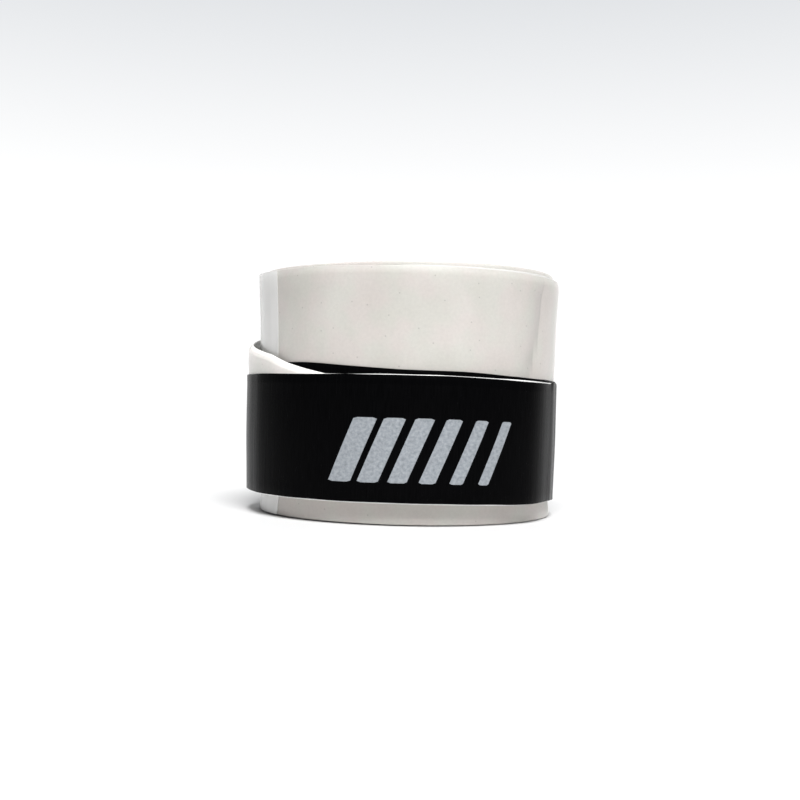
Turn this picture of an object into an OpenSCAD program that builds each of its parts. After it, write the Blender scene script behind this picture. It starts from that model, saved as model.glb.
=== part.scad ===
// Grip tape roll: a racket overgrip wound on itself and held shut by a finishing tape.
// Z is the winding axis, the roll rests on z = 0, and the printed side faces -Y.
// Angles are winding angles: they grow outwards along the strip, 180 is the left side and
// 270 the front of the outermost full turn. One turn further out, 540 is the left again.

/* [Grip strip] */
// Width of the grip strip, which is the height of the roll
grip_width = 25; // [20:0.5:30]
// Length of the grip strip
grip_length = 1100; // [900:10:1300]
// Thickness of the non-woven backing
base_t = 0.35; // [0.25:0.01:0.45]
// Thickness of the polyurethane grip skin
skin_t = 0.2; // [0.1:0.01:0.3]
// Thickness of the clear film over the skin
film_t = 0.03; // [0.02:0.005:0.05]
// Diameter of the open core
core_d = 13.4; // [8:0.2:20]
// Width of the strip at its tapered tip, measured to the top edge of the roll's side
tip_top = 9.5; // [8:0.5:12]
// Height that the tapered tail climbs as it crosses to the front
tail_climb = 2.8; // [2.5:0.1:3.2]
// How far the tail stands off the roll at the left
tail_lift = 0.7; // [0.5:0.05:1]

/* [Finishing tape] */
// Width of the finishing tape
tape_width = 12.2; // [10:0.1:13]
// Thickness of the finishing tape
tape_t = 0.15; // [0.1:0.01:0.2]
// Thickness of the release liner left under the printed stretch
liner_t = 0.1; // [0.05:0.01:0.12]
// Height of the tape's lower edge above the base of the roll
tape_bottom = 2.3; // [1:0.1:8]
// Thickness of the printed ink
ink_t = 0.02; // [0.01:0.01:0.03]

/* [Starting tab] */
// Thickness of the double-sided adhesive at the tapered tip
adhesive_t = 0.05; // [0.03:0.01:0.06]
// Thickness of the paper over that adhesive
paper_t = 0.06; // [0.04:0.01:0.07]
// Width of the adhesive and its paper
tab_width = 5.6; // [4:0.1:6]

/* [Mark] */
// Number of slanted bars in the printed mark
bar_count = 6; // [3:1:8]
// Height of the printed mark
mark_height = 6.2; // [4:0.1:8]
// Length of the printed mark across the front
mark_length = 18.6; // [12:0.2:20]

/* [Hidden] */

step = 7.5;          // every layer bends on these rays, so nested layers never cross
grip_t = base_t + skin_t;
air = 0.05;          // slack between two turns
pitch = grip_t + film_t + air;
slip = 0.02;         // clearance between neighbouring layers on different bodies
bond = 0.005;        // clearance between layers that are stuck together

tip_at = 675;        // the tail ends under the printed stretch
taper_from = 455;    // the tail starts to narrow at the back
climb_to = 570;
lift_from = 435;
lift_peak_at = 540;
lift_to = 607.5;
film_end = 217.5;

inner_from = 210;    // the tape starts under the tail
fold_at = 562.5;     // the printed stretch swings open about this line
drop_from = 675;     // past the tip the tape settles back onto its first turn
drop_to = 697.5;
crease_at = 705;     // the liner stops here and the bare end is stuck down
end_at = 735;
edge_gap = 0.5;      // degrees left open at the two fold lines

tab_from = 600;
tab_to = 667.5;
tab_bottom = 3.4;

mean_r = core_d / 2 + grip_t / 2;
turns_exact = (sqrt(mean_r * mean_r + grip_length * pitch / PI) - mean_r) / pitch;
turns = round(turns_exact * 360 / step) * step / 360;
core_at = tip_at - 360 * turns;
front_lift = base_t + skin_t + film_t + tape_t + adhesive_t + paper_t + 3 * slip - pitch;

mark_bottom = tape_bottom + 1.9;
mark_centre = 2.7;
bar_slant = 2.4;

function ease(t) = let (u = min(max(t, 0), 1)) u * u * (3 - 2 * u);
function lift(w) = tail_lift * ease((w - lift_from) / (lift_peak_at - lift_from))
    - (tail_lift - front_lift) * ease((w - lift_peak_at) / (lift_to - lift_peak_at));
function wind(w) = core_d / 2 + pitch * (w - core_at) / 360 + lift(w);
function over_grip(w) = wind(w) + grip_t;
function inner_wrap(w) = over_grip(w) + film_t + slip;
function settled(w) = inner_wrap(w - 360) + tape_t + slip;
function over_tail(w) = over_grip(w) + slip;
function liner_face(w) = over_tail(w)
    + (settled(w) - over_tail(w)) * ease((w - drop_from) / (drop_to - drop_from));
function outer_wrap(w) = liner_face(w) + liner_t + slip;
function taper_top(w) = grip_width
    - (grip_width - tip_top) * (w - taper_from) / (tip_at - taper_from);
function tail_foot(w) = tail_climb * ease((w - taper_from) / (climb_to - taper_from));

function ray(w, r) = [r * cos(w), r * sin(w)];
function on_ray(w, path) = ray(w, path(w));
// A point of a layer: on its ray, or on the straight stretch between two rays
function at(w, path) = let (a = step * floor(w / step), t = (w - a) / step)
    t == 0 ? on_ray(a, path) : (1 - t) * on_ray(a, path) + t * on_ray(a + step, path);
function stops(from, to) = concat([from],
    [for (i = [floor(from / step) + 1 : ceil(to / step) - 1]) i * step], [to]);

// A layer of the winding between two angles, thick from one offset of its path to another
module layer(from, to, path, low, high, z, height)
{
    rays = stops(from, to);
    last = len(rays) - 1;
    inside = [for (w = rays) at(w, function (v) path(v) + low)];
    outside = [for (i = [0 : last]) at(rays[last - i], function (v) path(v) + high)];
    translate([0, 0, z]) linear_extrude(height) polygon(concat(inside, outside));
}

// A ramp round the tail, which cuts it between two heights that change with the angle
module ramp(bottom, top)
{
    rays = [for (w = [taper_from - 5 : step : tip_at + step + 5]) w];
    count = len(rays);
    near = -3 * slip / 2;
    far = grip_t + 3 * slip / 2;
    corners = [for (w = rays) let (i = ray(w, wind_between(w) + near), o = ray(w, wind_between(w) + far))
        each [[i.x, i.y, bottom(w)], [i.x, i.y, top(w)], [o.x, o.y, top(w)], [o.x, o.y, bottom(w)]]];
    sides = [for (s = [0 : 4 : 4 * count - 8], k = [0 : 3]) let (j = (k + 1) % 4)
        each [[s + k, s + 4 + k, s + 4 + j], [s + k, s + 4 + j, s + j]]];
    last = 4 * count - 4;
    polyhedron(corners, concat([[0, 1, 2], [0, 2, 3]], sides,
                               [[last + 2, last + 1, last], [last + 3, last + 2, last]]));
}
function wind_between(w) = norm(at(w, function (v) wind(v)));

module tail_cut()
{
    above = grip_width + 1;
    ramp(function (w) taper_top(w), function (w) above + max(0, taper_from - w));
    ramp(function (w) -1, function (w) tail_foot(w) - (w < taper_from ? 0.1 : 0));
}

module grip_layer(low, high)
{
    difference() {
        layer(core_at, tip_at, function (w) wind(w), low, high, 0, grip_width);
        tail_cut();
    }
}

module grip_base() { color("whitesmoke") grip_layer(0, base_t - bond); }

module grip_skin() { color("gainsboro") grip_layer(base_t, grip_t); }

module cover_film()
{
    color("aliceblue")
        layer(core_at, film_end, function (w) over_grip(w), bond, film_t, 0, grip_width);
}

module start_adhesive()
{
    color("lightyellow")
        layer(tab_from, tab_to, function (w) wind(w), -adhesive_t, -bond, tab_bottom, tab_width);
}

module start_adhesive_paper()
{
    color("ivory")
        layer(tab_from, tab_to, function (w) wind(w) - adhesive_t, -paper_t, -bond,
              tab_bottom, tab_width);
}

module tape(from, to, path) { color("black") layer(from, to, path, 0, tape_t, tape_bottom, tape_width); }

module finishing_tape_inner() { tape(inner_from, fold_at - edge_gap, function (w) inner_wrap(w)); }

module finishing_tape_outer() { tape(fold_at, crease_at - edge_gap, function (w) outer_wrap(w)); }

module finishing_tape_end() { tape(crease_at, end_at, function (w) settled(w)); }

module tape_liner()
{
    color("white")
        layer(fold_at + step, crease_at - step / 2, function (w) liner_face(w), 0, liner_t,
              tape_bottom, tape_width + 0.2);
}

// One slanted bar, drawn in the XZ plane and pushed through the front of the roll
module bar(x, width)
{
    rotate([90, 0, 0]) linear_extrude(2 * core_d)
        polygon([[x, 0], [x + width, 0], [x + width + bar_slant, mark_height],
                 [x + bar_slant, mark_height]]);
}

module printed_mark()
{
    bar_pitch = (mark_length - bar_slant) / bar_count;
    left = mark_centre - mark_length / 2;
    color("silver") intersection() {
        layer(fold_at + 2 * step, crease_at - step, function (w) outer_wrap(w), tape_t + bond,
              tape_t + ink_t, mark_bottom - 1, mark_height + 2);
        translate([0, 0, mark_bottom])
            for (i = [0 : bar_count - 1])
                bar(left + i * bar_pitch, bar_pitch * (0.78 - 0.08 * i));
    }
}

grip_base();
grip_skin();
cover_film();
start_adhesive();
start_adhesive_paper();
finishing_tape_inner();
finishing_tape_outer();
finishing_tape_end();
tape_liner();
printed_mark();
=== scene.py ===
"""Grip tape roll: a white overgrip strip wound on itself and held shut by a black finishing tape.

Lengths in this file are millimetres until a mesh is made, angles are winding angles in degrees.
They grow outwards along the strip: 180 is the left of the outermost full turn, 270 its front, and
540 is the left again, one turn further out.
"""

import math

import bpy
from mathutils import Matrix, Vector, noise


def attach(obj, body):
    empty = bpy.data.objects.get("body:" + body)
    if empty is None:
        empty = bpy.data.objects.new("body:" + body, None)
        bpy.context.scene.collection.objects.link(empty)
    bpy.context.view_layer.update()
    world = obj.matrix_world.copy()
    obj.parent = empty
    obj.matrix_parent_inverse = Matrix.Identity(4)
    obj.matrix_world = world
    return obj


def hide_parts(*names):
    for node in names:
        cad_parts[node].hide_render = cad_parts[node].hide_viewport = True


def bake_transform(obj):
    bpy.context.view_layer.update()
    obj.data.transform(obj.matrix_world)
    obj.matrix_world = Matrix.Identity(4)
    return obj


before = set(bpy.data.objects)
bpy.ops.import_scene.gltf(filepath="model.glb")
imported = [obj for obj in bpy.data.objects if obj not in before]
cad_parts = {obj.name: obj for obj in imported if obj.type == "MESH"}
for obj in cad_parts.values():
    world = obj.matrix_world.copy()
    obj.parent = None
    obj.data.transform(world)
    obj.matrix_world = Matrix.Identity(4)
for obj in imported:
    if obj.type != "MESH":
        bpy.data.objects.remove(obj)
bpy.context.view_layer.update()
MM = 0.001

# ---------------------------------------------------------------- sizes, as in the CAD design

GRIP_WIDTH = 25.0
BASE_T = 0.35
SKIN_T = 0.2
GRIP_T = BASE_T + SKIN_T
FILM_T = 0.03
AIR = 0.05
PITCH = GRIP_T + FILM_T + AIR
SLIP = 0.02
CORE_R = 6.7
TAPE_T = 0.15
TAPE_WIDTH = 12.2
TAPE_BOTTOM = 2.3
LINER_T = 0.1
ADHESIVE_T = 0.05
PAPER_T = 0.06

CORE_AT = -4717.5
TIP_AT = 675.0
TAPER_FROM = 455.0
FILM_END = 215.0
TURN_START = 210.0
FOLD_AT = 562.5
SPLIT_AT = 480.0
CREASE_AT = 705.0
END_AT = 735.0
DROP = (675.0, 697.5)

LIFT_PEAK = 0.7
LIFT_FRONT = 0.27
LIFT_KNOTS = (435.0, 540.0, 607.5)

TAB_FROM = 600.0
TAB_TO = 667.5
TAB_BOTTOM = 3.4
TAB_WIDTH = 5.6

# ---------------------------------------------------------------- sizes of the hand-wound shape

# Height of the strip's tapered top edge, in straight lines.
TAPER_TOP = ((455.0, 25.0), (500.0, 20.6), (525.0, 18.75), (543.0, 17.95), (574.5, 16.42),
             (583.5, 15.6), (591.5, 15.06), (601.5, 14.5), (675.0, 9.5))
TAPER_FOOT_RISE = 2.8
TAPER_FOOT_TO = 570.0

# The outermost turn: how far its top stands above the strip's width, and its foot off the floor.
OUTER_TURN_FROM = 180.0
OUTER_TOP_RISE = ((180.0, 0.35), (215.0, 0.05), (300.0, 0.0), (360.0, 0.05), (455.0, 0.0))
OUTER_FOOT_RISE = ((180.0, 0.13), (240.0, 0.13), (270.0, 0.11), (320.0, 0.07), (360.0, 0.02))
FLOOR_GAP = 0.02

# The inner turns' rise: its mean, its wave, the bump at the right and the lower core turns.
INNER_RISE = 0.45
INNER_WAVE = 0.2
RIGHT_BUMP = 0.22
RIGHT_BUMP_AT = 325.0
RIGHT_BUMP_REACH = 40.0
CORE_TURNS_DROP = 0.15

# Where the outermost turn folds at the right, and how deep its sharp line lies.
FOLD_SPAN = (306.0, 350.0)
FOLD_LINE = 327.3
FOLD_LEAN = 7.0
FOLD_BEFORE = 12.0
FOLD_AFTER = 16.0
FOLD_DEPTH = 0.3

# Painted shade beside the film's end, fading out: as far as this angle, and this much at the most.
PAINTED_SHADE_TO = 245.0
PAINTED_SHADE_MOST = 0.33

# Radial shape at 16 mm from the axis: the flare at the top, the draw-in and the foot's own flare.
SHAPE_R = 16.0
TOP_FLARE = ((0.12, 13.5, 16.5), (0.1, 16.0, 22.0), (0.22, 20.5, 25.0))
DRAW_IN = 0.46
STIFF_SHARE = 0.65
FOOT_FLARE = 0.34
UNEVEN = 0.05

# A very short last step, so that smooth shading doesn't run into a cut end.
END_STEP = 0.05


def ease(t):
    t = min(max(t, 0.0), 1.0)
    return t * t * (3.0 - 2.0 * t)


def ramp(value, start, end):
    return ease((value - start) / (end - start))


def along(w, knots):
    """A smooth curve through (angle, value) knots, flat beyond the first and last."""
    if w <= knots[0][0]:
        return knots[0][1]
    for (a, p), (b, q) in zip(knots, knots[1:]):
        if w <= b:
            return p + (q - p) * ramp(w, a, b)
    return knots[-1][1]


def lift(w):
    rise, peak, settle = LIFT_KNOTS
    return LIFT_PEAK * ramp(w, rise, peak) - (LIFT_PEAK - LIFT_FRONT) * ramp(w, peak, settle)


def wind(w):
    """Radius of the strip's inner face."""
    return CORE_R + PITCH * (w - CORE_AT) / 360.0 + lift(w)


def over_grip(w):
    return wind(w) + GRIP_T


def inner_wrap(w):
    return over_grip(w) + FILM_T + SLIP


def settled(w):
    return inner_wrap(w - 360.0) + TAPE_T + SLIP


def liner_face(w):
    tail = over_grip(w) + SLIP
    return tail + (settled(w) - tail) * ramp(w, *DROP)


def outer_wrap(w):
    return liner_face(w) + LINER_T + SLIP


# ---------------------------------------------------------------- hand-wound irregularity


def waist(z, stiff):
    """The turns flare at the top and draw in towards a foot that flares again.

    The stiffer tape, and what it holds from outside, draws in less than the roll: stiff is 0 to 1.
    """
    top = sum(out * ramp(z, low, high) for out, low, high in TOP_FLARE)
    draw_in = DRAW_IN * (1.0 - STIFF_SHARE * stiff) * (1.0 - ramp(z, 0.6, 9.0))
    return top - draw_in + FOOT_FLARE * (1.0 - ramp(z, -0.2, 1.4))


def fold_dip(w, z):
    """The fold at the right: how deep it lies and how much painted shade darkens its skin, as shares of
    the most.

    It deepens to a sharp, wavy line and then recovers. It fades out at the tape and near the rim.
    """
    wave = 0.3 * math.sin(2.1 * z) + 0.2 * math.sin(5.3 * z)
    line = FOLD_LINE - FOLD_LEAN * (1.0 - ramp(z, 13.8, 20.5)) + wave
    reach = ramp(z, 13.5, 16.0) * (1.0 - 0.8 * ramp(z, 22.8, 24.8))
    if w < line:
        before = max((w - line + FOLD_BEFORE) / FOLD_BEFORE, 0.0)
        return before ** 1.8 * reach, before ** 1.8 * reach
    after = min((w - line) / FOLD_AFTER, 1.0)
    return (1.0 - after) ** 2 * reach, (1.0 - ramp(w, line, line + 0.8)) * reach


def in_fold(w):
    return FOLD_SPAN[0] < w < FOLD_SPAN[1]


def bulge(w, z, r, stiff):
    """Everything that moves a layer in or out at a place, the same for layers that touch."""
    near = r / SHAPE_R
    a = math.radians(w)
    slow = noise.noise(Vector((2.1 * math.cos(a), 2.1 * math.sin(a), 0.11 * z + 0.3 * r)))
    fold = FOLD_DEPTH * fold_dip(w, z)[0] if in_fold(w) else 0.0
    return near * waist(z, stiff) + UNEVEN * near * slow - fold


def turn_rise(w):
    """How far a turn stands above the strip's width: inner turns telescope upwards a little."""
    if w > OUTER_TURN_FROM:
        return along(w, OUTER_TOP_RISE)
    turn = (w - CORE_AT) / 360.0
    a = math.radians(w)
    wave = noise.noise(Vector((3.7 * turn, 0.9 * math.cos(a), 0.9 * math.sin(a))))
    aside = (w % 360.0 - RIGHT_BUMP_AT) / RIGHT_BUMP_REACH
    right = RIGHT_BUMP * math.exp(-aside ** 2) * ramp(w, -700.0, 0.0)
    core = CORE_TURNS_DROP * (1.0 - ramp(turn, 0.0, 3.0))
    return INNER_RISE + INNER_WAVE * wave + right - core


def strip_top(w):
    if w <= TAPER_FROM:
        return GRIP_WIDTH + turn_rise(w)
    for (a, p), (b, q) in zip(TAPER_TOP, TAPER_TOP[1:]):
        if w <= b:
            return p + (q - p) * (w - a) / (b - a)
    return TAPER_TOP[-1][1]


def strip_foot(w):
    if w <= OUTER_TURN_FROM:
        return max(FLOOR_GAP, turn_rise(w))
    if w <= TAPER_FROM:
        return along(w, OUTER_FOOT_RISE)
    return FLOOR_GAP + TAPER_FOOT_RISE * ramp(w, TAPER_FROM, TAPER_FOOT_TO)


# ---------------------------------------------------------------- mesh building


def polar(w, r, z):
    a = math.radians(w)
    return (r * MM * math.cos(a), r * MM * math.sin(a), z * MM)


def spread(start, end, count):
    return [start + (end - start) * i / (count - 1) for i in range(count)]


def heights(low, high, count, edge):
    """Heights up a layer's face, with two close rows at each edge for its rounded rim."""
    inner = spread(low + edge, high - edge, count)
    return [low + 0.35 * edge] + inner + [high - 0.35 * edge]


ROLLED_EDGE = ((0.6, 0.0), (0.45, 0.02), (0.3, 0.06), (0.17, 0.11), (0.06, 0.16))


def section(w, low_r, high_r, foot, top, rows, edge, rolled=None, stiff=0.0):
    """Closed loop of (radius, height) round a layer: up its outer face and down its inner one.

    A rolled top edge is given as how tall and how deep it is, in times the plain rolled edge.
    """
    zs = heights(foot, top, rows, edge)
    tuck = min(0.3 * (high_r - low_r), 0.6 * edge)
    loop = []
    for i, z in enumerate(zs[:-2] if rolled else zs):
        rim = tuck if i in (0, len(zs) - 1) else 0.0
        loop.append((high_r - rim, z))
    if rolled:
        tall, deep = rolled
        loop += [(high_r - deep * inwards, top - tall * below) for below, inwards in ROLLED_EDGE]
    loop.append((low_r + (0.015 if rolled else 0.5 * (high_r - low_r)), top))
    for i in range(len(zs) - 1, -1, -1):
        rim = tuck if i == 0 or (i == len(zs) - 1 and not rolled) else 0.0
        loop.append((low_r + rim, zs[i]))
    loop.append((0.5 * (low_r + high_r), foot))
    return [(r + bulge(w, z, r, stiff), z) for r, z in loop]


def sweep(name, stations, make_section):
    """A closed strip through one section a station, with a UV map of arc length and height."""
    verts, faces, uvs, run = [], [], [], 0.0
    before = None
    for w in stations:
        loop = make_section(w)
        mid = sum(r for r, z in loop) / len(loop)
        if before is not None:
            run += math.radians(w - before) * mid
        before = w
        verts += [polar(w, r, z) for r, z in loop]
        uvs += [(run, z) for r, z in loop]
    n = len(loop)
    for s in range(len(stations) - 1):
        for k in range(n):
            j = (k + 1) % n
            faces.append((s * n + k, s * n + n + k, s * n + n + j, s * n + j))
    faces.append(tuple(range(n)))
    faces.append(tuple(range(len(verts) - 1, len(verts) - 1 - n, -1)))
    mesh = bpy.data.meshes.new(name)
    mesh.from_pydata(verts, [], faces)
    mesh.update()
    layer = mesh.uv_layers.new(name="strip")
    for corner in mesh.loops:
        layer.data[corner.index].uv = uvs[corner.vertex_index]
    for polygon in mesh.polygons:
        polygon.use_smooth = len(polygon.vertices) == 4
    piece = bpy.data.objects.new(name, mesh)
    bpy.context.collection.objects.link(piece)
    return piece


def painted_skin_shade(w, z):
    """Painted shade in the skin's colour: in its fold's crease, and beside the film's end."""
    # Painted shade in the fold's crease, darkest just before its sharp line.
    if in_fold(w):
        return fold_dip(w, z)[1]
    # Painted shade beside the film's end.
    if FILM_END < w < PAINTED_SHADE_TO:
        return PAINTED_SHADE_MOST * (1.0 - ramp(w, FILM_END, PAINTED_SHADE_TO))
    return 0.0


def paint_skin_shade(piece, stations):
    """Stores the skin's painted shade at each vertex, for its material."""
    layer = piece.data.color_attributes.new("painted_shade", "FLOAT_COLOR", "POINT")
    loop = len(piece.data.vertices) // len(stations)
    for i, (vertex, item) in enumerate(zip(piece.data.vertices, layer.data)):
        painted_shade = painted_skin_shade(stations[i // loop], vertex.co.z / MM)
        item.color = (painted_shade, painted_shade, painted_shade, 1.0)


def angles(start, end, step):
    count = max(2, int(math.ceil((end - start) / step)) + 1)
    return spread(start, end, count)


def strip_angles(start, end):
    """Coarser inside the roll, where only the rims show, and fine on the last turns."""
    fold_from, fold_to = FOLD_SPAN
    coarse = angles(start, 0.0, 7.5)[:-1]
    if end <= fold_from:
        return coarse + angles(0.0, end, 2.5)
    before = angles(0.0, fold_from, 2.5)[:-1]
    return coarse + before + angles(fold_from, fold_to, 0.5)[:-1] + angles(fold_to, end, 2.5)


# ---------------------------------------------------------------- materials


class Nodes:
    """Short helpers to build one material's node tree."""

    def __init__(self, name):
        self.material = bpy.data.materials.new(name)
        self.material.use_nodes = True
        self.tree = self.material.node_tree
        self.shader = self.tree.nodes["Principled BSDF"]
        self.output = self.tree.nodes["Material Output"]

    def add(self, kind, **values):
        node = self.tree.nodes.new(kind)
        for key, value in values.items():
            setattr(node, key, value)
        return node

    def link(self, source, target):
        self.tree.links.new(source, target)

    def place(self, scale, uv=False):
        """Object coordinates, or the strip's own, stretched to a noise scale."""
        coords = self.add("ShaderNodeTexCoord")
        mapping = self.add("ShaderNodeMapping")
        mapping.inputs["Scale"].default_value = scale
        self.link(coords.outputs["UV" if uv else "Object"], mapping.inputs["Vector"])
        return mapping.outputs["Vector"]

    def noise(self, place, scale, detail=3.0, roughness=0.5):
        node = self.add("ShaderNodeTexNoise")
        node.inputs["Scale"].default_value = scale
        node.inputs["Detail"].default_value = detail
        node.inputs["Roughness"].default_value = roughness
        self.link(place, node.inputs["Vector"])
        return node.outputs["Fac"]

    def on_strip(self, axis, start, end):
        """0 before one length along the strip (X) or up it (Y), 1 after another, in millimetres."""
        coords = self.add("ShaderNodeTexCoord")
        split = self.add("ShaderNodeSeparateXYZ")
        self.link(coords.outputs["UV"], split.inputs["Vector"])
        span = self.add("ShaderNodeMapRange")
        span.inputs["From Min"].default_value = start
        span.inputs["From Max"].default_value = end
        self.link(split.outputs[axis], span.inputs["Value"])
        return span.outputs["Result"]

    def voronoi(self, place, scale):
        """Distance to the nearest of scattered points, in a flat pattern."""
        node = self.add("ShaderNodeTexVoronoi", voronoi_dimensions="2D")
        node.inputs["Scale"].default_value = scale
        self.link(place, node.inputs["Vector"])
        return node.outputs["Distance"]

    def ramp(self, source, stops):
        node = self.add("ShaderNodeValToRGB")
        elements = node.color_ramp.elements
        while len(elements) < len(stops):
            elements.new(0.5)
        for element, (position, color) in zip(elements, stops):
            element.position = position
            element.color = (*color, 1.0) if isinstance(color, tuple) else (color, color, color, 1.0)
        self.link(source, node.inputs["Fac"])
        return node.outputs["Color"]

    def mix(self, factor, first, second, blend="MIX"):
        node = self.add("ShaderNodeMix", data_type="RGBA", blend_type=blend)
        if isinstance(factor, float):
            node.inputs[0].default_value = factor
        else:
            self.link(factor, node.inputs[0])
        for socket, value in ((node.inputs[6], first), (node.inputs[7], second)):
            if isinstance(value, tuple):
                socket.default_value = (*value, 1.0)
            else:
                self.link(value, socket)
        return node.outputs[2]

    def bump(self, height, distance, strength=1.0, under=None):
        node = self.add("ShaderNodeBump")
        node.inputs["Distance"].default_value = distance
        node.inputs["Strength"].default_value = strength
        self.link(height, node.inputs["Height"])
        if under is not None:
            self.link(under, node.inputs["Normal"])
        return node.outputs["Normal"]

    def set(self, **values):
        for key, value in values.items():
            self.shader.inputs[key.replace("_", " ")].default_value = value


def grip_surface_material():
    """Warm off-white polyurethane with a fine matte grain, faint specks and uneven toning; painted shade
    in the fold and beside the film's end, painted light on the inner rims and the tail.
    """
    m = Nodes("grip_surface")
    slow = m.noise(m.place((1.0, 1.0, 0.6)), 170.0, 3.0, 0.55)
    tone = m.ramp(slow, ((0.32, (0.547, 0.522, 0.488)), (0.68, (0.628, 0.603, 0.569))))
    tint = m.noise(m.place((1.0, 1.0, 1.0)), 330.0, 2.0, 0.5)
    tinted = m.mix(0.24, tone, m.ramp(tint, ((0.4, (0.645, 0.56, 0.54)), (0.6, (0.56, 0.585, 0.515)))))
    grain = m.noise(m.place((1.0, 1.0, 1.0), uv=True), 3.2, 2.0, 0.6)
    grained = m.mix(1.0, tinted, m.ramp(grain, ((0.3, 0.94), (0.7, 1.0))), "MULTIPLY")
    # Painted highlight: the last of the strip's run, on the tail, is lightened.
    painted_tail_light = m.on_strip("X", 1058.0, 1080.0)
    grained = m.mix(painted_tail_light, grained, m.mix(1.0, grained, (1.26, 1.27, 1.29), "MULTIPLY"))
    # Painted light: the inner turns' rims above the strip's width are lightened, as if lit from above.
    painted_rim_light = m.on_strip("Y", 25.08, 25.2)
    grained = m.mix(painted_rim_light, grained, m.mix(1.0, grained, (1.07, 1.07, 1.08), "MULTIPLY"))
    # Painted shade: the skin darkens where the vertex attribute says, in the fold and beside the film's
    # end.
    painted_shade = m.add("ShaderNodeAttribute", attribute_name="painted_shade").outputs["Fac"]
    grained = m.mix(1.0, grained, m.ramp(painted_shade, ((0.0, 1.0), (1.0, 0.79))), "MULTIPLY")
    cells = m.voronoi(m.place((1.0, 1.0, 1.0), uv=True), 0.34)
    dots = m.ramp(cells, ((0.010, 0.72), (0.034, 1.0)))
    m.link(m.mix(1.0, grained, dots, "MULTIPLY"), m.shader.inputs["Base Color"])
    rough = m.ramp(m.noise(m.place((1.0, 1.0, 0.4)), 300.0, 2.0), ((0.3, 0.4), (0.7, 0.52)))
    m.link(rough, m.shader.inputs["Roughness"])
    pebble = m.noise(m.place((1.0, 1.0, 1.0)), 5200.0, 2.0, 0.6)
    soft = m.noise(m.place((1.0, 1.0, 0.3)), 520.0, 2.0, 0.5)
    normal = m.bump(pebble, 0.00001, 0.35, m.bump(soft, 0.00005, 0.5))
    m.link(normal, m.shader.inputs["Normal"])
    m.set(IOR=1.46, Subsurface_Weight=0.12, Subsurface_Scale=0.0006)
    m.set(Sheen_Weight=0.3, Sheen_Roughness=0.35)
    m.shader.inputs["Subsurface Radius"].default_value = (1.0, 0.9, 0.75)
    return m.material


def backing_material():
    """Non-woven felt: fine crossed fibres, brighter than the skin."""
    m = Nodes("grip_backing")
    fibres = m.noise(m.place((1.0, 9.0, 1.0), uv=True), 1.3, 4.0, 0.7)
    crossed = m.noise(m.place((7.0, 1.0, 1.0), uv=True), 1.1, 4.0, 0.7)
    felt = m.mix(0.5, fibres, crossed)
    m.link(m.ramp(felt, ((0.3, (0.7, 0.69, 0.66)), (0.62, (0.86, 0.855, 0.835)))),
           m.shader.inputs["Base Color"])
    m.link(m.bump(felt, 0.00006, 0.8), m.shader.inputs["Normal"])
    m.set(Roughness=0.85, Sheen_Weight=0.25, Sheen_Roughness=0.5)
    return m.material


def film_material():
    """Thin milky film: it hides the skin's grain, with a glossy surface and slack wrinkles."""
    m = Nodes("clear_film")
    slack = m.noise(m.place((1.0, 1.0, 0.18)), 260.0, 2.0, 0.5)
    m.link(m.ramp(slack, ((0.3, (0.86, 0.855, 0.84)), (0.7, (0.93, 0.925, 0.91)))),
           m.shader.inputs["Base Color"])
    m.link(m.ramp(slack, ((0.35, 0.72), (0.65, 0.82))), m.shader.inputs["Alpha"])
    m.link(m.bump(slack, 0.0001, 0.5), m.shader.inputs["Normal"])
    m.set(Roughness=0.25, IOR=1.62)
    return m.material


def black_tape_material():
    """Black stretch vinyl: satin, with fine streaks across the tape where it was pulled."""
    m = Nodes("black_tape")
    streak = m.noise(m.place((2.2, 0.09, 1.0), uv=True), 1.0, 4.0, 0.65)
    fine = m.noise(m.place((9.0, 0.5, 1.0), uv=True), 1.0, 3.0, 0.6)
    m.link(m.ramp(fine, ((0.3, (0.0008, 0.0008, 0.001)), (0.7, (0.002, 0.002, 0.0023)))),
           m.shader.inputs["Base Color"])
    m.link(m.ramp(streak, ((0.3, 0.2), (0.7, 0.32))), m.shader.inputs["Roughness"])
    grain = m.bump(m.noise(m.place((1.0, 1.0, 1.0)), 4200.0, 2.0), 0.000006, 0.5)
    m.link(m.bump(streak, 0.00004, 0.45, grain), m.shader.inputs["Normal"])
    m.set(IOR=1.47, Specular_IOR_Level=0.02)
    return m.material


def liner_material():
    """Glazed white release paper."""
    m = Nodes("release_liner")
    pulp = m.noise(m.place((1.5, 1.5, 1.0), uv=True), 1.6, 4.0, 0.6)
    m.link(m.ramp(pulp, ((0.3, (0.8, 0.8, 0.79)), (0.7, (0.9, 0.9, 0.89)))),
           m.shader.inputs["Base Color"])
    m.link(m.bump(pulp, 0.00001, 0.5), m.shader.inputs["Normal"])
    m.set(Roughness=0.4)
    return m.material


def tab_paper_material():
    """Cream paper over the starting adhesive."""
    m = Nodes("adhesive_paper")
    pulp = m.noise(m.place((1.0, 2.0, 1.0), uv=True), 2.2, 4.0, 0.6)
    m.link(m.ramp(pulp, ((0.3, (0.74, 0.71, 0.62)), (0.7, (0.84, 0.82, 0.74)))),
           m.shader.inputs["Base Color"])
    m.link(m.bump(pulp, 0.00001, 0.5), m.shader.inputs["Normal"])
    m.set(Roughness=0.5)
    return m.material


def adhesive_material():
    """Pale translucent pressure-sensitive adhesive."""
    m = Nodes("adhesive")
    flow = m.noise(m.place((1.0, 1.0, 1.0), uv=True), 1.4, 3.0, 0.5)
    m.link(m.ramp(flow, ((0.3, (0.66, 0.62, 0.48)), (0.7, (0.76, 0.73, 0.6)))),
           m.shader.inputs["Base Color"])
    m.link(m.bump(flow, 0.00002, 0.5), m.shader.inputs["Normal"])
    m.set(Roughness=0.3)
    return m.material


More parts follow.
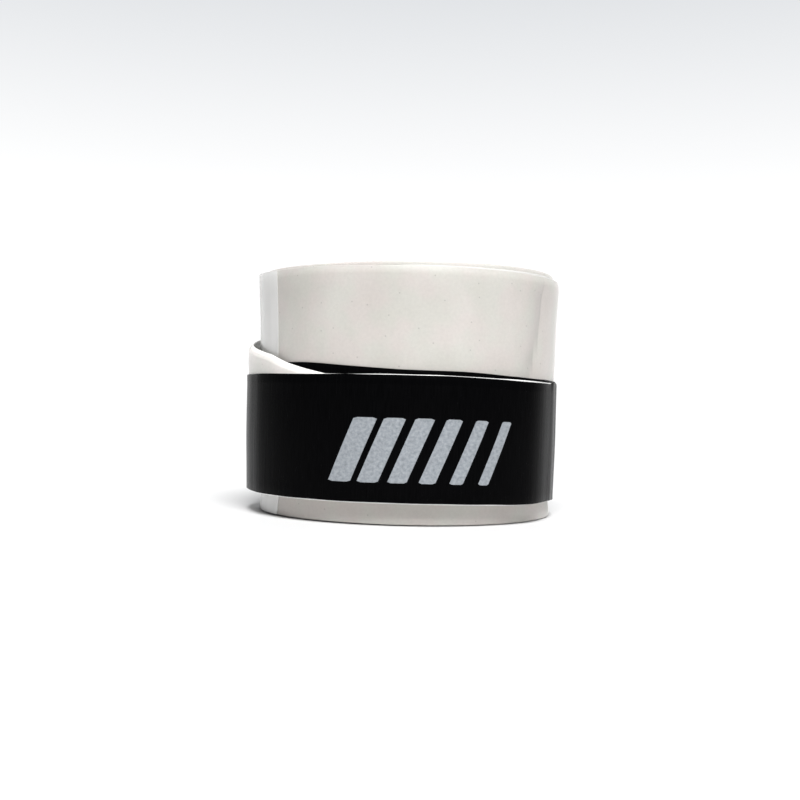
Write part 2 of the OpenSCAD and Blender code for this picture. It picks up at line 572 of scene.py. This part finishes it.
def ink_material():
    """Silver-grey screen ink, laid slightly unevenly on the stretched tape."""
    m = Nodes("silver_ink")
    patchy = m.noise(m.place((2.0, 2.0, 1.0), uv=True), 1.5, 4.0, 0.65)
    m.link(m.ramp(patchy, ((0.3, (0.2, 0.22, 0.24)), (0.7, (0.37, 0.395, 0.425)))),
           m.shader.inputs["Base Color"])
    m.link(m.bump(patchy, 0.000008, 0.5), m.shader.inputs["Normal"])
    m.set(Roughness=0.42, Metallic=0.1)
    return m.material


def dress(piece, material, node, body=None):
    """Gives a piece its look, hides the CAD node it stands for and, unless it bends, attaches it to its
    body.
    """
    piece.data.materials.append(material)
    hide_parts(node)
    if body:
        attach(piece, body)


# ---------------------------------------------------------------- the grip strip


def on_tail(w):
    return ramp(w, 480.0, 530.0)


def held_out(w):
    """How much of the tail lies over the tape's first turn, and so draws in as little as the tape."""
    return ramp(w, 480.0, 560.0)


def skin_roll(w):
    """Crisp inside the roll, softly rolled on the outermost turn, and bevelled on the tail."""
    shown = ramp(w, 120.0, 175.0)
    tall = 0.5 + 0.9 * shown - 0.75 * on_tail(w)
    return tall, 0.35 + 0.65 * shown + 0.1 * on_tail(w)


def build_strip():
    def backing_cut(w):
        r, tail = wind(w), on_tail(w)
        bevel = (0.15 + 0.45 * tail, 0.1 + 1.7 * tail)
        return section(w, r, r + BASE_T - 0.004, strip_foot(w), strip_top(w), 12, 0.12, bevel, held_out(w))

    def skin_cut(w):
        r = wind(w)
        top = strip_top(w) - 0.28 * on_tail(w)
        return section(w, r + BASE_T, r + GRIP_T, strip_foot(w), top, 13, 0.12, skin_roll(w), held_out(w))

    backing = sweep("grip_backing", strip_angles(CORE_AT, TIP_AT), backing_cut)
    dress(backing, backing_material(), "grip_base", "roll")
    stations = strip_angles(CORE_AT, TIP_AT)
    skin = sweep("grip_surface", stations, skin_cut)
    paint_skin_shade(skin, stations)
    dress(skin, grip_surface_material(), "grip_skin", "roll")

    def film_cut(w):
        r = over_grip(w)
        top = strip_top(w) - 0.02 - 0.4 * (1.0 - ramp(w, 120.0, 175.0))
        return section(w, r + 0.006, r + FILM_T, strip_foot(w) + 0.01, top, 12, 0.03)

    film = sweep("film_wrap", strip_angles(CORE_AT, FILM_END - END_STEP) + [FILM_END], film_cut)
    dress(film, film_material(), "cover_film", "roll")


def build_start_tab():
    def cut(depth, thick):
        def made(w):
            r = wind(w) - depth
            return section(w, r - thick, r - 0.005, TAB_BOTTOM, TAB_BOTTOM + TAB_WIDTH, 4, 0.02,
                           stiff=1.0)
        return made

    glue = sweep("start_tab_glue", angles(TAB_FROM, TAB_TO, 3.75), cut(0.0, ADHESIVE_T))
    dress(glue, adhesive_material(), "start_adhesive", "roll")
    paper = sweep("start_tab_paper", angles(TAB_FROM, TAB_TO, 3.75), cut(ADHESIVE_T, PAPER_T))
    dress(paper, tab_paper_material(), "start_adhesive_paper", "roll")


# ---------------------------------------------------------------- the finishing tape

TURN_RISE = ((210.0, 1.34), (224.0, 1.18), (272.0, 0.52), (345.0, -0.05), (450.0, -0.1), (540.0, -0.04))
STRETCH_RISE = ((540.0, -0.04), (630.0, 0.0), (695.0, -0.38), (715.0, -0.6), (735.0, -0.7))
CREASE_PEAK = ((695.0, 0.0), (700.0, 0.31), (706.0, 0.31), (715.0, 0.0))
LINER_END = 699.0
LINER_SHOWS = 0.09
PINCH = 0.12
PINCH_FROM = 697.5


def tape_shift(w):
    """How far the whole tape climbs or drops along its run."""
    return along(w, TURN_RISE if w <= 540.0 else STRETCH_RISE)


def edge_wander(w, seed):
    a = math.radians(w)
    return 0.05 * noise.noise(Vector((4.0 * math.cos(a), 4.0 * math.sin(a), seed + w / 360.0)))


def tape_cut(path, corners=()):
    """The tape's section, with its cut ends' corners rounded off."""
    def cut(w):
        foot = TAPE_BOTTOM + tape_shift(w) + edge_wander(w, 3.0)
        top = TAPE_BOTTOM + TAPE_WIDTH + tape_shift(w) + along(w, CREASE_PEAK) + edge_wander(w, 7.0)
        for end, reach in corners:
            t = min(abs(w - end) / reach, 1.0)
            pinch = 0.5 * (1.0 - math.sqrt(1.0 - (1.0 - t) ** 2))
            foot, top = foot + pinch, top - pinch
        r = path(w)
        return section(w, r, r + TAPE_T, foot, top, 14, 0.05, stiff=1.0)
    return cut


def open_at_fold(piece):
    """Bakes the transform of a piece that swings away from the tape's first turn into its mesh; nothing
    bends it here.
    """
    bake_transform(piece)


def build_tape():
    black = black_tape_material()
    turn = sweep("tape_first_turn", angles(TURN_START, SPLIT_AT - END_STEP, 2.5) + [SPLIT_AT],
                 tape_cut(inner_wrap, ((TURN_START, 2.0),)))
    dress(turn, black, "finishing_tape_inner", "tape_turn")

    def stretch_path(w):
        join = ramp(w, FOLD_AT, FOLD_AT + 8.0)
        pinch = PINCH * ramp(w, PINCH_FROM, CREASE_AT)
        return inner_wrap(w) + (outer_wrap(w) - inner_wrap(w)) * join - pinch

    stretch = sweep("tape_printed_stretch", [SPLIT_AT] + angles(SPLIT_AT + END_STEP, CREASE_AT, 1.5),
                    tape_cut(stretch_path))
    dress(stretch, black, "finishing_tape_outer")
    open_at_fold(stretch)

    def end_path(w):
        kink = 1.0 - ramp(w, CREASE_AT, CREASE_AT + 1.2)
        return settled(w) + (outer_wrap(CREASE_AT) - settled(CREASE_AT) - PINCH) * kink

    tab = sweep("tape_stuck_end", angles(CREASE_AT, END_AT, 0.75),
                tape_cut(end_path, ((END_AT, 2.0),)))
    dress(tab, black, "finishing_tape_end")
    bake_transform(tab)


def build_liner():
    def cut(w):
        r = liner_face(w)
        foot = TAPE_BOTTOM + tape_shift(w) - LINER_SHOWS + 0.2 * ramp(w, 670.0, 690.0)
        top = TAPE_BOTTOM + TAPE_WIDTH + tape_shift(w) + 0.1 * ramp(w, 600.0, 680.0)
        return section(w, r, r + LINER_T, foot, top + edge_wander(w, 12.0), 10, 0.03, stiff=1.0)

    liner = sweep("liner_strip", angles(570.0, LINER_END, 2.0), cut)
    dress(liner, liner_material(), "tape_liner")
    open_at_fold(liner)


# ---------------------------------------------------------------- the printed mark, a generic one


FRONT_AT = 630.0
MM_PER_DEGREE = 0.3
MARK_FROM = 604.5
MARK_LENGTH = 68.5
MARK_SLANT = 8.5
MARK_BOTTOM = 4.2
MARK_HEIGHT = 6.2
BAR_COUNT = 6
BAR_SHARE = 0.78
BAR_SHRINK = 0.08
INK_T = 0.012


def mark_point(w, z):
    """A point on the outside of the printed stretch."""
    r = outer_wrap(w) + TAPE_T
    return polar(w, r + bulge(w, z, r, 1.0) + INK_T, z)


def build_mark():
    """Slanted bars that narrow to the right, wrapped round the tape. Widths are angles."""
    pitch = (MARK_LENGTH - MARK_SLANT) / BAR_COUNT
    verts, faces, uvs = [], [], []
    columns, rows = 7, 9
    for bar in range(BAR_COUNT):
        width = pitch * (BAR_SHARE - BAR_SHRINK * bar)
        left = MARK_FROM + bar * pitch
        base = len(verts)
        for i in range(columns):
            for k in range(rows):
                t, u = i / (columns - 1), k / (rows - 1)
                round_off = 0.12 * (1.0 - math.sqrt(max(0.0, 1.0 - (2.0 * abs(t - 0.5)) ** 8)))
                z = MARK_BOTTOM + round_off + (MARK_HEIGHT - 2 * round_off) * u
                w = left + MARK_SLANT * u + width * t
                verts.append(mark_point(w, z + tape_shift(w)))
                uvs.append(((w - FRONT_AT) * MM_PER_DEGREE, z))
        for i in range(columns - 1):
            for k in range(rows - 1):
                a = base + i * rows + k
                faces.append((a, a + rows, a + rows + 1, a + 1))
    mesh = bpy.data.meshes.new("printed_mark")
    mesh.from_pydata(verts, [], faces)
    mesh.update()
    layer = mesh.uv_layers.new(name="strip")
    for corner in mesh.loops:
        layer.data[corner.index].uv = uvs[corner.vertex_index]
    mark = bpy.data.objects.new("printed_mark_ink", mesh)
    bpy.context.collection.objects.link(mark)
    solid = mark.modifiers.new("ink", "SOLIDIFY")
    solid.thickness = INK_T * MM
    solid.offset = -1.0
    dress(mark, ink_material(), "printed_mark", "tape_wrap")


# ---------------------------------------------------------------- floor, light and camera


def build_floor():
    bpy.ops.mesh.primitive_plane_add(size=3.0, location=(0.0, 0.0, 0.0))
    floor = bpy.context.object
    floor.name = "floor"
    m = Nodes("floor")
    soft = m.noise(m.place((1.0, 1.0, 1.0)), 12.0, 2.0)
    m.link(m.ramp(soft, ((0.3, 0.66), (0.7, 0.68))), m.shader.inputs["Base Color"])
    m.set(Roughness=0.6)
    floor.data.materials.append(m.material)


WORLD_STRENGTH = 1.2
WORLD_BY_HEIGHT = ((0.0, (0.9, 0.9, 0.9)), (0.29, (0.9, 0.9, 0.9)), (0.47, (0.62, 0.635, 0.655)),
                   (0.7, (0.5, 0.51, 0.53)))
WORLD_BY_DEPTH = ((0.0, (0.16, 0.16, 0.16)), (0.45, (0.18, 0.18, 0.18)), (0.6, (0.29, 0.29, 0.29)),
                  (0.82, (0.5, 0.5, 0.5)), (0.935, (1.0, 1.0, 1.0)))


def build_world():
    """A white studio: bright behind and at the sides, greyer above, and dark behind the camera."""
    world = bpy.data.worlds.new("studio")
    world.use_nodes = True
    tree = world.node_tree
    back = tree.nodes["Background"]
    coords = tree.nodes.new("ShaderNodeTexCoord")
    split = tree.nodes.new("ShaderNodeSeparateXYZ")
    tree.links.new(coords.outputs["Generated"], split.inputs["Vector"])

    def graded(source, stops):
        node = tree.nodes.new("ShaderNodeValToRGB")
        elements = node.color_ramp.elements
        while len(elements) < len(stops):
            elements.new(0.5)
        for element, (position, color) in zip(elements, stops):
            element.position = position
            element.color = (*color, 1.0)
        tree.links.new(source, node.inputs["Fac"])
        return node.outputs["Color"]

    up = tree.nodes.new("ShaderNodeMapRange")
    up.inputs["From Min"].default_value = -0.2
    up.inputs["From Max"].default_value = 1.0
    tree.links.new(split.outputs["Z"], up.inputs["Value"])
    height = graded(up.outputs["Result"], WORLD_BY_HEIGHT)
    away = tree.nodes.new("ShaderNodeMapRange")
    away.inputs["From Min"].default_value = -1.0
    away.inputs["From Max"].default_value = 1.0
    tree.links.new(split.outputs["Y"], away.inputs["Value"])
    depth = graded(away.outputs["Result"], WORLD_BY_DEPTH)
    both = tree.nodes.new("ShaderNodeMix")
    both.data_type = "RGBA"
    both.blend_type = "MULTIPLY"
    both.inputs[0].default_value = 1.0
    tree.links.new(height, both.inputs[6])
    tree.links.new(depth, both.inputs[7])
    tree.links.new(both.outputs[2], back.inputs["Color"])
    back.inputs["Strength"].default_value = WORLD_STRENGTH
    bpy.context.scene.world = world


def soft_sun(name, azimuth, elevation, spread_deg, strength):
    """A large far softbox. Azimuth 0 is the front and grows to the right."""
    data = bpy.data.lights.new(name, "SUN")
    data.angle = math.radians(spread_deg)
    data.energy = strength
    lamp = bpy.data.objects.new(name, data)
    a, e = math.radians(azimuth), math.radians(elevation)
    towards = Vector((math.sin(a) * math.cos(e), -math.cos(a) * math.cos(e), math.sin(e)))
    lamp.rotation_euler = towards.to_track_quat("Z", "Y").to_euler()
    bpy.context.collection.objects.link(lamp)


def build_light():
    build_world()
    soft_sun("key", 9.5, 61.0, 30.0, 4.98)
    soft_sun("top", 0.0, 88.0, 70.0, 0.3)


CAMERA_DISTANCE = 0.119
CAMERA_HEIGHT = 0.0121
CAMERA_ASIDE = -0.0006
CAMERA_ROLL = math.radians(-1.3)
FIELD_OF_VIEW = math.radians(40.75)


def build_camera():
    data = bpy.data.cameras.new("camera")
    data.sensor_fit = "HORIZONTAL"
    data.angle = FIELD_OF_VIEW
    data.clip_start = 0.005
    camera = bpy.data.objects.new("camera", data)
    camera.location = (CAMERA_ASIDE, -CAMERA_DISTANCE, CAMERA_HEIGHT)
    camera.rotation_euler = (math.radians(90.0), CAMERA_ROLL, 0.0)
    bpy.context.collection.objects.link(camera)
    bpy.context.scene.camera = camera


bpy.context.scene.view_settings.view_transform = "Standard"
build_camera()
build_light()
build_floor()
build_strip()
build_start_tab()
build_tape()
build_liner()
build_mark()
